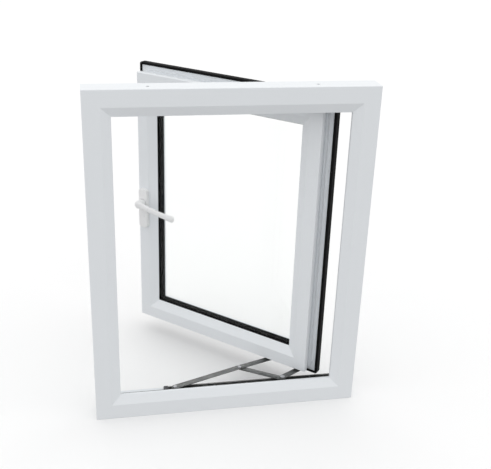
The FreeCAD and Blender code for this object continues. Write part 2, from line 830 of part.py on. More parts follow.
def short_arm():
    """Flat arm from the shoe to the sash; its shoe hole is oversize for the linkage's play."""
    d = rest_pivots["short_pivot"]
    s = d - direction(short_arm_closed + short_arm_ratio * rest_opening) * short_arm_length
    z0, z1 = short_arm_z, short_arm_z + arm_thickness
    arm = flat_bar(s, d, arm_width, z0, z1)
    return arm.cut(group([
        upright(d, pin_radius + pin_clearance, z0 - 1, z1 + 1),
        upright(s, shoe_pin_play, z0 - 1, z1 + 1)]))


def vent_screw_places():
    x = frame_width / 2.0 - sash_margin
    y = sash_indoor + groove_centre
    return [V(x - edge, y, 0) for edge in vent_screws_from_edge]


def vent_plate():
    """Plate under the sash that carries its two pivots, built on the shut sash."""
    x = frame_width / 2.0 - sash_margin
    y = sash_indoor + groove_centre
    half = vent_plate_width / 2.0
    plate = block(x - vent_plate_end, x - vent_plate_start, y - half, y + half, vent_plate_z, sash_margin)
    corners = [e for e in plate.Edges if abs(e.Length - (sash_margin - vent_plate_z)) < 1e-6]
    plate = plate.makeFillet(vent_plate_corner, corners)
    cuts = []
    for place in vent_screw_places():
        cuts.append(upright(place, screw_head_hole, vent_plate_z - 1, vent_plate_z + screw_head))
        cuts.append(upright(place, screw_hole, vent_plate_z, sash_margin + 1))
    for place in (closed_pivots["sash_pivot"], closed_short_pivot):
        cuts.append(upright(place, pin_radius, vent_plate_z - 1, sash_margin + 1))
    return swung_open(plate.cut(group(cuts)))


def vent_screws():
    lift = V(0, 0, vent_plate_z)
    screws = [screw(place + lift, Z_AXIS, screw_length) for place in vent_screw_places()]
    return swung_open(group(screws))


def vent_rivets():
    """The sash's two pivots: the long arm's and the short arm's."""
    long_place = rest_pivots["sash_pivot"]
    short_place = rest_pivots["short_pivot"]
    long_top = long_arm_z + arm_thickness + layer_gap
    short_top = short_arm_z + arm_thickness + layer_gap
    head = short_arm_z - layer_gap
    long_rivet = fused([
        upright(long_place, countersunk_radius, long_arm_z, long_arm_z + countersunk_head),
        upright(long_place, pin_radius, long_arm_z + countersunk_head, sash_margin),
        upright(long_place, collar_radius, long_top, vent_plate_z)])
    short_rivet = fused([
        upright(short_place, pin_head_radius, head - pin_head, head),
        upright(short_place, pin_radius, head, sash_margin),
        upright(short_place, collar_radius, short_top, vent_plate_z)])
    return group([long_rivet, short_rivet])


# ---------------------------------------------------------------- lock
def cam_middles():
    """Heights of the cams at mid travel."""
    return [mid_height - cam_spacing / 2.0, mid_height + cam_spacing / 2.0]


def edge_block(u0, u1, t0, t1, z0, z1):
    """A block measured inwards from the free edge of the shut sash and outdoors from its face."""
    x = -sash_width / 2.0
    return block(x + u0, x + u1, sash_indoor + t0, sash_indoor + t1, z0, z1)


def faceplate():
    half = faceplate_width / 2.0
    run = faceplate_length / 2.0
    plate = edge_block(groove_depth - faceplate_thickness, groove_depth, groove_centre - half,
                       groove_centre + half, mid_height - run, mid_height + run)
    reach = cam_shank + cam_slot_play
    travel = lock_travel / 2.0
    for z in cam_middles():
        plate = plate.cut(edge_block(-1, groove_depth + 1, groove_centre - reach, groove_centre + reach,
                                     z - travel - reach, z + travel + reach))
    holes = []
    for place, length in faceplate_screw_places():
        holes.append(Part.makeCylinder(screw_hole, length, place - V(1, 0, 0), X_AXIS))
        holes.append(Part.makeCylinder(screw_head_hole, screw_head + 1, place - V(1, 0, 0),
                                       X_AXIS))
    return plate.cut(group(holes))


def faceplate_screw_places():
    """Start and length of each faceplate screw, beyond the ends of the drive rod."""
    x = -sash_width / 2.0 + groove_depth - faceplate_thickness
    reach = faceplate_length / 2.0 - faceplate_screw_inset
    return [(V(x, sash_indoor + groove_centre, mid_height + side * reach), screw_length) for side in (-1, 1)]


def faceplate_screws():
    return group([screw(place, X_AXIS, length) for place, length in faceplate_screw_places()])


def gearbox():
    """Housing round the crank, open towards the drive rod."""
    half = gearbox_thickness / 2.0
    tall = gearbox_height / 2.0
    wall = gearbox_wall
    t0 = groove_centre - half
    t1 = groove_centre + half
    shell = edge_block(gearbox_start, gearbox_reach, t0, t1, mid_height - tall, mid_height + tall)
    hollow = edge_block(gearbox_start - 1, gearbox_reach - wall, t0 + wall, t1 - wall,
                        mid_height - tall + wall, mid_height + tall - wall)
    return shell.cut(hollow).cut(along_spindle(spindle_hole, t0 - 1, t1 + 1))


def spindle_x():
    return -sash_width / 2.0 + handle_backset


def drive_rod():
    """Sliding strip behind the faceplate, with a slotted lug that the crank pin drives."""
    half = rod_width / 2.0
    z = mid_height + rod_rest
    strip = edge_block(rod_start, rod_start + rod_thickness, groove_centre - half, groove_centre + half,
                       z - rod_length / 2.0, z + rod_length / 2.0)
    lug = edge_block(rod_start + rod_thickness, lug_reach, lug_start, lug_start + lug_thickness,
                     z - lug_half_height, z + lug_half_height)
    slot_half = crank_pin_radius + slot_play
    slot_end = handle_backset - lock_travel / 2.0 + crank_pin_radius + slot_play - layer_gap
    slot = edge_block(rod_start + rod_thickness, slot_end, lug_start - 1, lug_start + lug_thickness + 1,
                      z - slot_half, z + slot_half)
    return fused([strip, lug]).cut(slot)


def locking_cams():
    """Mushroom studs on the drive rod."""
    cams = []
    x = -sash_width / 2.0
    y = sash_indoor + groove_centre
    for middle in cam_middles():
        z = middle + rod_rest
        shank = Part.makeCylinder(cam_shank, cam_reach + rod_start, V(x - cam_reach, y, z), X_AXIS)
        head = Part.makeCylinder(cam_head, cam_head_thickness, V(x - cam_reach, y, z), X_AXIS)
        cams.append(fused([shank, head]))
    return group(cams)


def lock_keeps():
    """Keeps on the jamb: the cam rises indoors of each lip."""
    keeps = []
    x = -frame_width / 2.0 + rebate_height
    y = sash_indoor + groove_centre
    lip_y = y + cam_head + keep_clearance
    for middle in cam_middles():
        z = middle + keep_raise
        base = block(x, x + keep_base, y - keep_width / 2.0, lip_y + keep_lip, z - keep_length / 2.0,
                     z + keep_length / 2.0)
        lip_z = middle + lock_travel / 2.0
        lip = block(x, x + keep_lip_rise, lip_y, lip_y + keep_lip, lip_z - keep_lip_length / 2.0,
                    lip_z + keep_lip_length / 2.0)
        keeps.append(fused([base, lip]))
    holes = []
    for place in keep_screw_places():
        holes.append(Part.makeCylinder(screw_hole, keep_base + 2, place - V(1, 0, 0), X_AXIS))
        holes.append(Part.makeCylinder(screw_head_hole, screw_head + 1,
                                       place + V(keep_base - screw_head, 0, 0), X_AXIS))
    return group([keep.cut(group(holes)) for keep in keeps])


def keep_screws():
    way = V(-1, 0, 0)
    return group([screw(place + V(keep_base, 0, 0), way, screw_length) for place in keep_screw_places()])


# ---------------------------------------------------------------- handle
def spindle_axis_block(side, t0, t1):
    """Square bar along the spindle axis."""
    half = side / 2.0
    x = spindle_x()
    return block(x - half, x + half, sash_indoor + t0, sash_indoor + t1, mid_height - half, mid_height + half)


def along_spindle(radius, t0, t1, dx=0.0, dz=0.0):
    start = V(spindle_x() + dx, sash_indoor + t0, mid_height + dz)
    return Part.makeCylinder(radius, t1 - t0, start, Y_AXIS)


def with_lever(shape):
    """Turn a piece built with the lever level to the lever's rest droop."""
    copy = shape.copy()
    copy.rotate(V(spindle_x(), 0, mid_height), Y_AXIS, lever_rest_drop)
    return copy


def base_outline(inset, t):
    """Rounded upright rectangle of the handle's base, shrunk by inset."""
    half = handle_base_width / 2.0 - inset
    x, y = spindle_x(), sash_indoor - t
    low, high = mid_height - handle_base_below + inset, mid_height + handle_base_above - inset
    corner = handle_base_corner - inset
    plan = Part.makeBox(2 * half, 1.0, high - low, V(x - half, y, low))
    plan = plan.makeFillet(corner, [e for e in plan.Edges if abs(e.Length - 1.0) < 1e-6])
    face = [f for f in plan.Faces if abs(f.CenterOfMass.y - y) < 1e-6 and abs(f.normalAt(0, 0).y) > 0.9][0]
    return Part.Face(face.OuterWire)


def raised(face, height):
    return face.extrude(V(0, -height, 0))


def handle_base():
    """Metal plate under the cover."""
    plate = raised(base_outline(cover_wall + pin_clearance, 0), handle_plate)
    cuts = [along_spindle(spindle_hole, -handle_plate - 1, 1)]
    for dz in (-handle_screw_spacing / 2.0, handle_screw_spacing / 2.0):
        cuts.append(along_spindle(handle_screw_hole, -handle_plate - 1, 1, dz=dz))
    return plate.cut(group(cuts))


def handle_cover():
    """Thin cover over the plate, open at the back, with a hole for the neck."""
    shell = raised(base_outline(0, 0), handle_base_height)
    rim = [e for e in shell.Edges if abs(e.CenterOfMass.y - (sash_indoor - handle_base_height)) < 1e-6]
    shell = shell.makeFillet(handle_cover_round, rim)
    hollow = raised(base_outline(cover_wall, -1), handle_base_height - cover_wall + 1)
    hole = along_spindle(neck_radius + neck_clearance, -handle_base_height - 1, -handle_plate)
    return shell.cut(hollow).cut(hole)


def handle_screws():
    """Screws through the plate into the stile; their heads are under the cover."""
    screws = []
    for side in (-1, 1):
        z = mid_height + side * handle_screw_spacing / 2.0
        place = V(spindle_x(), sash_indoor - handle_plate - handle_screw_head_height, z)
        screws.append(screw(place, Y_AXIS, handle_screw_length, handle_screw_head,
                            handle_screw_head_height, handle_screw_radius))
    return group(screws)


def handle_lever():
    """Cranked lever: round neck, a rise, and a flattened grip with a rounded tip."""
    profiles = []
    for share, rise, half_width, half_thickness in lever_sections:
        stand_off = boss_stand_off + rise * (lever_stand_off - boss_stand_off)
        centre = V(spindle_x() + share * lever_length, sash_indoor - stand_off, mid_height)
        oval = Part.Ellipse(centre + V(0, 0, half_width), centre + V(0, -half_thickness, 0), centre)
        profiles.append(Part.Wire([oval.toShape()]))
    bar = Part.makeLoft(profiles, True)
    boss = along_spindle(neck_radius, -boss_front, -handle_plate - neck_clearance)
    rim = [e for e in boss.Edges if abs(e.CenterOfMass.y - (sash_indoor - boss_front)) < 1e-6]
    boss = boss.makeFillet(boss_round, rim)
    socket = spindle_axis_block(spindle_side, -handle_plate - neck_clearance - spindle_embed, 0)
    return with_lever(boss.fuse(bar).cut(socket))


def handle_spindle():
    inner = -handle_plate - neck_clearance - spindle_embed
    return with_lever(spindle_axis_block(spindle_side, inner, spindle_end))


def crank():
    """Crank on the spindle, with the pin that drives the rod's lug."""
    t0, t1 = crank_start, crank_start + crank_thickness
    hub = along_spindle(crank_hub, t0, t1)
    x = spindle_x()
    half = crank_width / 2.0
    arm = block(x - 2 * crank_radius, x, sash_indoor + t0, sash_indoor + t1,
                mid_height - half, mid_height + half)
    arm = arm.common(along_spindle(crank_sweep, t0, t1))
    pin = along_spindle(crank_pin_radius, t1, t1 + crank_pin_length, dx=-crank_radius)
    body = fused([hub, arm, pin])
    body.rotate(V(x, 0, mid_height), Y_AXIS, -45.0)
    return with_lever(body.cut(spindle_axis_block(spindle_side, t0 - 1, t1 + 1)))


# ---------------------------------------------------------------- assembly
def frame_parts():
    members = frame_members()
    parts = {
        "frame_sill": members["bottom"], "frame_head": members["top"],
        "frame_jamb_left": members["left"], "frame_jamb_right": members["right"],
        "frame_reinforcements": frame_steel(), "frame_weatherseal": frame_seal(),
        "frame_drain_caps": drain_caps(), "lock_keeps": lock_keeps(), "keep_screws": keep_screws()}
    parts["stay_track_bottom"], parts["stay_track_top"] = both_stays(track())
    for name, shape in (("track_end_caps", track_caps()), ("track_screws", track_screws()),
                        ("stay_anchor_rivets", anchor_rivet())):
        parts[name] = group(list(both_stays(shape)))
    return parts


def shut_sash_parts():
    members = shut_sash_members()
    beads = glazing_beads()
    parts = {
        "sash_bottom_rail": members["bottom"], "sash_top_rail": members["top"],
        "sash_stile_left": members["left"], "sash_stile_right": members["right"],
        "sash_reinforcements": sash_steel(), "sash_weatherseal": sash_seal(),
        "inner_pane": pane(glass_start), "outer_pane": pane(glass_end - glass_thickness),
        "setting_blocks": setting_blocks(),
        "espag_faceplate": faceplate(), "espag_gearbox": gearbox(), "faceplate_screws": faceplate_screws(),
        "handle_base": handle_base(), "handle_base_cover": handle_cover(), "handle_screws": handle_screws(),
        "handle_lever": handle_lever(), "handle_spindle": handle_spindle(), "espag_crank": crank(),
        "drive_rod": drive_rod(), "locking_cams": locking_cams()}
    for side, bead in beads.items():
        parts["glazing_bead_" + side] = bead
    parts.update(glazing_rings())
    return parts


def stay_parts():
    parts = {}
    for name, shape in (("long_arm", long_arm()), ("pivot_arm", pivot_arm()), ("short_arm", short_arm()),
                        ("shoe", shoe()), ("vent_plate", vent_plate())):
        parts[name + "_bottom"], parts[name + "_top"] = both_stays(shape)
    for name, shape in (("middle_rivets", middle_rivet()), ("shoe_rivets", shoe_rivet()),
                        ("vent_rivets", vent_rivets()), ("vent_plate_screws", vent_screws())):
        parts[name] = group(list(both_stays(shape)))
    return parts


def main():
    parts = frame_parts()
    parts.update({name: swung_open(shape) for name, shape in shut_sash_parts().items()})
    parts.update(stay_parts())
    os.makedirs("parts", exist_ok=True)
    for name, shape in parts.items():
        shape.exportStep("parts/" + name + ".step")


main()
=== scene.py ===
import json
import math

import bmesh
import bpy
from mathutils import Matrix, Vector


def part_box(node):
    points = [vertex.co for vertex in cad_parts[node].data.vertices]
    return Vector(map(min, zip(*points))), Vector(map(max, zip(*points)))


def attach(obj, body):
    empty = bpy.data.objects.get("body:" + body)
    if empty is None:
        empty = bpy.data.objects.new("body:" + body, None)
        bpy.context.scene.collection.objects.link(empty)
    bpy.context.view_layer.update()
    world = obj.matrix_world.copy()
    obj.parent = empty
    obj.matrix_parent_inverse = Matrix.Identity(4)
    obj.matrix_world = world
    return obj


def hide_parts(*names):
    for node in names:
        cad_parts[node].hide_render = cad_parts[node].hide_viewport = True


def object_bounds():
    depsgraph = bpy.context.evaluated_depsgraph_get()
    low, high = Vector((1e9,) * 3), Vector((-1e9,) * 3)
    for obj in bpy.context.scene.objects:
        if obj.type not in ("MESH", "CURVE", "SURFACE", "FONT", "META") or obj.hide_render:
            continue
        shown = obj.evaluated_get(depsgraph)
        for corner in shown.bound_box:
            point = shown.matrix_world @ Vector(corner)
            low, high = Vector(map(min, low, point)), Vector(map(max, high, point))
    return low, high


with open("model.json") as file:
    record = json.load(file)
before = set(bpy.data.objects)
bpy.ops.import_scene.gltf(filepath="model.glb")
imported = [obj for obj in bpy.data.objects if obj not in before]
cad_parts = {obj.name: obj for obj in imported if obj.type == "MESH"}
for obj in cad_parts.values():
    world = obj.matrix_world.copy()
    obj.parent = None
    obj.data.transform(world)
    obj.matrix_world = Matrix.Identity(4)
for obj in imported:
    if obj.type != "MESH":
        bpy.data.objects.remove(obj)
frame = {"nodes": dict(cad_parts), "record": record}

cad_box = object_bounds()
nodes = frame["nodes"]


# ---------------------------------------------------------------- node helpers
class Tree:
    """Short names for building the node tree of a material or of the world, from empty."""

    def __init__(self, owner):
        owner.use_nodes = True
        self.tree = owner.node_tree
        self.tree.nodes.clear()

    def add(self, kind):
        return self.tree.nodes.new(kind)

    def join(self, source, target):
        self.tree.links.new(source, target)


def finish_tree(t, shader, kind="ShaderNodeOutputMaterial"):
    out = t.add(kind)
    t.join(shader, out.inputs["Surface"])


def noise(t, coords, scale, detail=3.0, stretch=None):
    """Noise of about scale waves to a metre; stretch draws it out along an axis, as streaks."""
    if stretch:
        mapping = t.add("ShaderNodeMapping")
        mapping.inputs["Scale"].default_value = stretch
        t.join(coords, mapping.inputs["Vector"])
        coords = mapping.outputs["Vector"]
    node = t.add("ShaderNodeTexNoise")
    node.inputs["Scale"].default_value = scale
    node.inputs["Detail"].default_value = detail
    t.join(coords, node.inputs["Vector"])
    return node.outputs["Fac"]


# Noise seldom leaves this range, so it is stretched to fill the range that is asked for.
NOISE_RANGE = (0.3, 0.7)


def remap(t, source, low, high, given=NOISE_RANGE):
    node = t.add("ShaderNodeMapRange")
    node.inputs["From Min"].default_value = given[0]
    node.inputs["From Max"].default_value = given[1]
    node.inputs["To Min"].default_value = low
    node.inputs["To Max"].default_value = high
    t.join(source, node.inputs["Value"])
    return node.outputs["Result"]


def tint(t, fac, dark, light):
    """Mixes two colours. The Mix node has sockets of the same names for other types."""
    node = t.add("ShaderNodeMix")
    node.data_type = "RGBA"
    t.join(fac, node.inputs["Factor"])
    for name, colour in (("A", dark), ("B", light)):
        for socket in node.inputs:
            if socket.name == name and socket.type == "RGBA":
                socket.default_value = (*colour, 1)
    return [socket for socket in node.outputs if socket.type == "RGBA"][0]


BUMP_STRENGTH = 0.6


def bump(t, height, depth_mm, normal=None):
    node = t.add("ShaderNodeBump")
    node.inputs["Strength"].default_value = BUMP_STRENGTH
    node.inputs["Distance"].default_value = depth_mm / 1000
    t.join(height, node.inputs["Height"])
    if normal is not None:
        t.join(normal, node.inputs["Normal"])
    return node.outputs["Normal"]


def principled(t, **values):
    """A Principled shader; the values are its sockets, with _ for each space."""
    shader = t.add("ShaderNodeBsdfPrincipled")
    for name, value in values.items():
        shader.inputs[name.replace("_", " ")].default_value = value
    return shader


# ---------------------------------------------------------------- materials
def surface(name, dark, light, rough, patch=12.0, grain=900.0, streak=None, streak_scale=300.0,
            metallic=0.0, bump_mm=0.02, streak_mm=0.01, coat=0.0, specular=0.5):
    """A solid material: patchy colour and roughness, a fine grain, and streaks along one axis."""
    material = bpy.data.materials.new(name)
    t = Tree(material)
    coords = t.add("ShaderNodeTexCoord").outputs["Object"]
    patches = noise(t, coords, patch, detail=4.0)
    fine = noise(t, coords, grain, detail=2.0)
    shader = principled(t, Metallic=metallic, Coat_Weight=coat, Specular_IOR_Level=specular)
    t.join(tint(t, remap(t, patches, 0.0, 1.0), dark, light), shader.inputs["Base Color"])
    t.join(remap(t, patches, rough[0], rough[1]), shader.inputs["Roughness"])
    normal = bump(t, fine, bump_mm)
    if streak:
        lines = noise(t, coords, streak_scale, stretch=streak)
        normal = bump(t, lines, streak_mm, normal)
    t.join(normal, shader.inputs["Normal"])
    finish_tree(t, shader.outputs["BSDF"])
    return material


# Streaks a hundred times as long as they are wide, along a bar.
ALONG_X = (0.01, 1.0, 1.0)
ALONG_Z = (1.0, 1.0, 0.01)
PVC_DARK, PVC_LIGHT = (0.775, 0.802, 0.828), (0.787, 0.814, 0.840)


def pvc(name, streak):
    return surface(name, PVC_DARK, PVC_LIGHT, (0.30, 0.34), patch=5.0, streak=streak, bump_mm=0.006,
                   streak_mm=0.008)


# Lower than real glass (1.52), so that the panes reflect faintly.
GLASS_IOR = 1.16


def glass_material():
    """Clear float glass with faint reflections. Shadow rays pass, so it casts almost no shadow."""
    material = bpy.data.materials.new("clear_float_glass")
    t = Tree(material)
    shader = principled(t, Base_Color=(0.995, 1.0, 0.997, 1), Roughness=0.0, IOR=GLASS_IOR,
                        Transmission_Weight=1.0)
    through = t.add("ShaderNodeBsdfTransparent")
    through.inputs["Color"].default_value = (0.97, 0.985, 0.98, 1)
    path = t.add("ShaderNodeLightPath")
    mix = t.add("ShaderNodeMixShader")
    t.join(path.outputs["Is Shadow Ray"], mix.inputs[0])
    t.join(shader.outputs["BSDF"], mix.inputs[1])
    t.join(through.outputs["BSDF"], mix.inputs[2])
    finish_tree(t, mix.outputs["Shader"])
    return material


MATERIALS = {
    "pvc_level": pvc("white_pvc_level", ALONG_X),
    "pvc_upright": pvc("white_pvc_upright", ALONG_Z),
    "seal": surface("black_rubber_seal", (0.0018, 0.0018, 0.002), (0.004, 0.004, 0.0042), (0.6, 0.75),
                    patch=30.0, grain=1500.0, bump_mm=0.05, specular=0.12),
    "spacer": surface("black_spacer", (0.0015, 0.0015, 0.0017), (0.003, 0.003, 0.0032), (0.6, 0.7),
                      grain=1800.0, specular=0.05),
    "stay": surface("stay_stainless_steel", (0.16, 0.163, 0.160), (0.25, 0.253, 0.25), (0.36, 0.48),
                    patch=40.0, grain=2500.0, streak=(0.02, 1.0, 1.0), streak_scale=1500.0, metallic=1.0,
                    bump_mm=0.01),
    "rivet": surface("rivet_steel", (0.42, 0.42, 0.44), (0.6, 0.6, 0.62), (0.22, 0.36), patch=200.0,
                     grain=3000.0, metallic=1.0, bump_mm=0.01),
    "zinc": surface("zinc_plated_steel", (0.45, 0.46, 0.48), (0.62, 0.63, 0.65), (0.28, 0.45), patch=60.0,
                    grain=2000.0, metallic=1.0, bump_mm=0.01),
    "handle": surface("white_powder_coat", (0.80, 0.805, 0.81), (0.82, 0.825, 0.83), (0.26, 0.32), patch=30.0,
                      grain=1600.0, bump_mm=0.03, coat=0.2),
    "cap": surface("grey_end_cap", (0.05, 0.05, 0.055), (0.08, 0.08, 0.085), (0.45, 0.6), patch=80.0),
    "shoe": surface("dark_nylon", (0.025, 0.025, 0.027), (0.04, 0.04, 0.043), (0.4, 0.55), patch=80.0),
    "block": surface("packer_plastic", (0.05, 0.11, 0.30), (0.07, 0.15, 0.36), (0.4, 0.5), patch=80.0),
    "glass": glass_material(),
}

SLOT_LOOKS = {
    "upvc_white": "pvc_level", "cap_white": "pvc_level", "seal_black": "seal", "sealant_black": "seal",
    "spacer_black": "spacer", "glass": "glass", "stay_steel": "stay", "rivet_steel": "rivet",
    "stiffener_steel": "zinc", "lock_steel": "zinc", "screw_steel": "zinc", "handle_white": "handle",
    "handle_plate_metal": "zinc", "cap_grey": "cap", "shoe_plastic": "shoe", "block_plastic": "block",
}
UPRIGHT = ("jamb", "stile", "bead_left", "bead_right")


def look_of(name, slot):
    if slot == "upvc_white" and any(word in name for word in UPRIGHT):
        return MATERIALS["pvc_upright"]
    return MATERIALS[SLOT_LOOKS[slot]]


for part in frame["record"]["subparts"]:
    dressed = nodes[part["node"]].data.materials
    dressed.clear()
    dressed.append(look_of(part["node"], part["material_slot"]))


# ---------------------------------------------------------------- places on the sash and frame
# The spindle stands square to the sash, so its axis gives the direction through the sash.
joint = {j["name"]: j for j in frame["record"]["behaviour"]["joints"]}
SASH_OUT = Vector(joint["handle_turn"]["axis"]).normalized()
SASH_ALONG = Vector((SASH_OUT.y, -SASH_OUT.x, 0))
FRAME_OUT = Vector((0, 1, 0))
FRAME_ALONG = Vector((1, 0, 0))
MM = 0.001


def sash_place(e, t, z):
    """The place e along the sash, t outwards through it and z up."""
    return SASH_ALONG * e + SASH_OUT * t + Vector((0, 0, z))


def frame_place(e, t, z):
    return Vector((e, t, z))


def local_box(node, along, out):
    """Lowest and highest place of a node, measured along its own body's directions."""
    spots = [(v.co.dot(along), v.co.dot(out), v.co.z) for v in nodes[node].data.vertices]
    return [min(s[i] for s in spots) for i in range(3)], [max(s[i] for s in spots) for i in range(3)]


def new_piece(name, vertices, faces, material, body, sharp=35.0):
    """A smooth-shaded piece on a body, with sharp edges from the angle sharp in degrees."""
    mesh = bpy.data.meshes.new(name)
    mesh.from_pydata(vertices, [], faces)
    work = bmesh.new()
    work.from_mesh(mesh)
    bmesh.ops.recalc_face_normals(work, faces=work.faces)
    work.to_mesh(mesh)
    work.free()
    for face in mesh.polygons:
        face.use_smooth = True
    mesh.set_sharp_from_angle(angle=math.radians(sharp))
    obj = bpy.data.objects.new(name, mesh)
    bpy.context.collection.objects.link(obj)
    mesh.materials.append(MATERIALS[material])
    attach(obj, body)
    return obj


def soften(obj, width_mm):
    """Rounds the edges that bend by 40 degrees or more."""
    edge = obj.modifiers.new("soft_edges", "BEVEL")
    edge.width = width_mm * MM
    edge.segments = 2
    edge.limit_method = "ANGLE"
    edge.angle_limit = math.radians(40)


def loops_mesh(loops, closed_rows=True, capped=False):
    """Joins loops of equal length with quads: closed_rows joins the last loop to the first, and
    capped closes the first and the last loop with a face."""
    count = len(loops[0])
    vertices = [v for loop in loops for v in loop]
    faces = []
    rows = len(loops) if closed_rows else len(loops) - 1
    for i in range(rows):
        a, b = i * count, ((i + 1) % len(loops)) * count
        for j in range(count):
            k = (j + 1) % count
            faces.append((a + j, a + k, b + k, b + j))
    if capped:
        faces.append(tuple(range(count)))
        faces.append(tuple(range(len(vertices) - count, len(vertices))))
    return vertices, faces


CORNER_STEPS = 6
LEAST_BEND = 0.4 * MM


def ring_loops(profile, low, high, corner, place):
    """One loop per profile point (inset, depth in mm), round a rectangle with rounded corners."""
    loops = []
    for inset, depth in profile:
        a = inset * MM
        bend = max(corner - a, LEAST_BEND)
        e0, e1, z0, z1 = low[0] + a, high[0] - a, low[2] + a, high[2] - a
        loop = []
        for ce, cz, start in ((e1 - bend, z0 + bend, -90), (e1 - bend, z1 - bend, 0),
                              (e0 + bend, z1 - bend, 90), (e0 + bend, z0 + bend, 180)):
            for i in range(CORNER_STEPS + 1):
                turn = math.radians(start + 90 * i / CORNER_STEPS)
                e, z = ce + bend * math.cos(turn), cz + bend * math.sin(turn)
                loop.append(place(e, low[1] + depth * MM, z))
        loops.append(loop)
    return loops


def ring_piece(name, profile, node, body, material, corner_mm):
    """Runs a profile round the outline of a CAD ring, in place of that ring."""
    if body == "sash":
        along, out, place = SASH_ALONG, SASH_OUT, sash_place
    else:
        along, out, place = FRAME_ALONG, FRAME_OUT, frame_place
    low, high = local_box(node, along, out)
    vertices, faces = loops_mesh(ring_loops(profile, low, high, corner_mm * MM, place))
    piece = new_piece(name, vertices, faces, material, body)
    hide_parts(node)


# ---------------------------------------------------------------- seals, gasket and spacer
# Each profile is a closed outline of (inset from the ring's outer edge, depth from its indoor face), in mm.
RIB_PITCH = 1.6
RIB_DEPTH = 0.3
GROOVE_DEPTH = 0.4
SPACER_HEIGHT = 9.8


def sash_seal_profile():
    """A cap over the flange's tip, with ribs on its outer face and two lips on its indoor face."""
    ribs = [(RIB_DEPTH * (i % 2), 17.2 - RIB_PITCH * i) for i in range(9)]
    lips = [(0.1, 2.4), (0.7, 1.0), (1.8, 0.2), (3.0, 0.0), (4.1, 0.3), (4.8, 1.1), (5.4, 0.4), (6.3, 0.0),
            (7.2, 0.5), (7.5, 1.4)]
    return [(0.9, 18.7), (0.2, 18.2)] + ribs + lips + [(7.5, 3.2), (5.0, 3.2), (5.0, 18.7)]


def spacer_profile():
    """A bar with two grooves on its face."""
    grooves = []
    for start in (3.6, 11.0):
        grooves += [(SPACER_HEIGHT, start), (SPACER_HEIGHT - GROOVE_DEPTH, start + GROOVE_DEPTH),
                    (SPACER_HEIGHT - GROOVE_DEPTH, start + 1.0), (SPACER_HEIGHT, start + 1.4)]
    return ([(0.0, 0.3), (0.3, 0.0), (9.0, 0.0), (SPACER_HEIGHT, 0.6)] + grooves
            + [(SPACER_HEIGHT, 15.4), (9.0, 16.0), (0.3, 16.0), (0.0, 15.7)])


# Two bulbs side by side.
FRAME_SEAL_PROFILE = [
    (0.0, 0.0), (0.0, 1.4), (0.3, 2.3), (1.1, 3.0), (2.3, 3.2), (3.2, 2.8), (3.7, 1.9), (4.2, 2.7),
    (5.2, 3.2), (6.4, 2.9), (7.1, 2.0), (7.3, 1.0), (7.3, 0.0)]
# A strip with one rounded lip over the bead's edge.
BEAD_GASKET_PROFILE = [
    (0.0, 0.2), (4.9, 0.2), (5.6, -0.4), (6.6, -0.7), (7.6, -0.5), (8.2, 0.3), (8.2, 1.0), (7.6, 1.6),
    (0.0, 1.6)]

ring_piece("ribbed_sash_seal", sash_seal_profile(), "sash_weatherseal", "sash", "seal", 6.0)
ring_piece("bulb_frame_seal", FRAME_SEAL_PROFILE, "frame_weatherseal", "frame", "seal", 3.0)
ring_piece("lipped_bead_gasket", BEAD_GASKET_PROFILE, "bead_gasket", "sash", "seal", 1.0)
ring_piece("ribbed_spacer", spacer_profile(), "spacer_bar", "sash", "spacer", 2.0)


# ---------------------------------------------------------------- stamped stay arms
ARM_HALF = 8.75 * MM
ARM_RIM = 2.2 * MM
CHANNEL_SLOPE = 0.7 * MM
CHANNEL_DEPTH = 0.35 * MM
ARM_EDGE_MM = 0.3
TIP_STEPS = 12


def pivot_spot(name):
    place = joint[name]["pos_m"]
    return Vector((place[0], place[1], 0))


def bar_outline(route, half):
    """Outline of a flat bar along a route, with round ends. A bar may bend at one middle place."""
    forward = (route[1] - route[0]).normalized()
    backward = (route[-2] - route[-1]).normalized()
    outline = []
    for tip, ahead in ((route[-1], -backward), (route[0], -forward)):
        side = Vector((-ahead.y, ahead.x, 0))
        for i in range(TIP_STEPS + 1):
            turn = math.radians(-90 + 180 * i / TIP_STEPS)
            outline.append(tip + ahead * half * math.cos(turn) + side * half * math.sin(turn))
        outline += [middle + side * half for middle in route[1:-1]]
    return outline


def stamped_arm(name, node, body, route):
    """Stamped bar with rounded rims and a pressed channel, in place of the plain flat bar."""
    low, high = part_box(node)
    outline = bar_outline(route, ARM_HALF)
    loops = [[Vector((p.x, p.y, z)) for p in outline] for z in (low[2], high[2])]
    vertices, faces = loops_mesh(loops, closed_rows=False, capped=True)
    arm = new_piece(name, vertices, faces, "stay", body)
    work = bmesh.new()
    work.from_mesh(arm.data)
    flats = [f for f in work.faces if len(f.verts) > 4]
    for flat in flats:
        bmesh.ops.inset_region(work, faces=[flat], thickness=ARM_RIM, depth=0.0)
        bmesh.ops.inset_region(work, faces=[flat], thickness=CHANNEL_SLOPE, depth=-CHANNEL_DEPTH)
    work.to_mesh(arm.data)
    work.free()
    arm.data.set_sharp_from_angle(angle=math.radians(30))
    soften(arm, ARM_EDGE_MM)
    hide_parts(node)


ANCHOR, MIDDLE, TO_SASH, TO_SHOE, SHORT_END = (pivot_spot(name) for name in (
    "long_arm_swing", "pivot_arm_swing", "sash_swing", "shoe_turn", "short_arm_swing"))
for level in ("bottom", "top"):
    stamped_arm("stamped_long_arm_" + level, "long_arm_" + level, "long_arms", [ANCHOR, MIDDLE, TO_SASH])
    stamped_arm("stamped_pivot_arm_" + level, "pivot_arm_" + level, "pivot_arms", [MIDDLE, TO_SHOE])
    stamped_arm("stamped_short_arm_" + level, "short_arm_" + level, "short_arms", [TO_SHOE, SHORT_END])


# ---------------------------------------------------------------- lever handle
LEVER_LENGTH = 135.0 * MM
LEVER_DROP = math.radians(5.0)
RING_POINTS = 28
